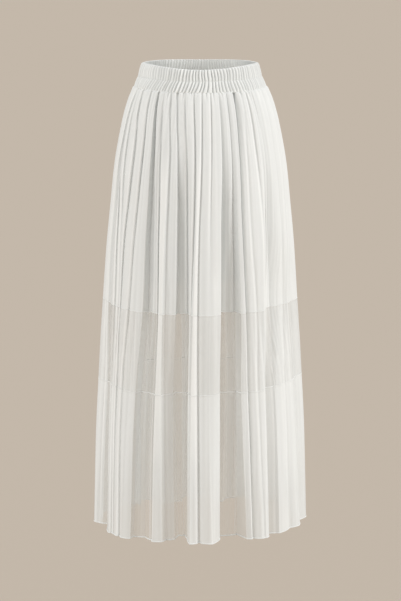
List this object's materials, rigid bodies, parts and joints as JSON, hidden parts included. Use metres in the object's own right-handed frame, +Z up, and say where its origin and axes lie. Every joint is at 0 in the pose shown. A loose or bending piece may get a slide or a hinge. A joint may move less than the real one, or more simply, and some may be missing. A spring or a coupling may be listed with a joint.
{
  "type": "maxi skirt",
  "caption": "Long pleated chiffon skirt with a shirred elastic waistband, a sheer insert and a semi-sheer lower tier, filled out as if worn.",
  "frame": {"origin": "centre of the waist opening, level with the waistband's top edge at the sides", "axes": "+Z up along the skirt's length, -Y the front of the skirt, +X to the viewer's right as the front is looked at"},
  "size_m": [0.441, 0.3667, 0.961],
  "materials": {
    "waistband_cloth": "matte chiffon gathered on elastic",
    "upper_chiffon": "matte off-white pleated chiffon, nearly opaque",
    "sheer_chiffon": "matte off-white sheer chiffon",
    "lower_chiffon": "matte off-white pleated chiffon, a little see-through"
  },
  "bodies": {
    "root": {"waistband_front": "waistband_cloth", "upper_front": "upper_chiffon", "sheer_front": "sheer_chiffon", "lower_front": "lower_chiffon", "waistband_back": "waistband_cloth", "upper_back": "upper_chiffon", "sheer_back": "sheer_chiffon", "lower_back": "lower_chiffon"}
  },
  "joints": []
}
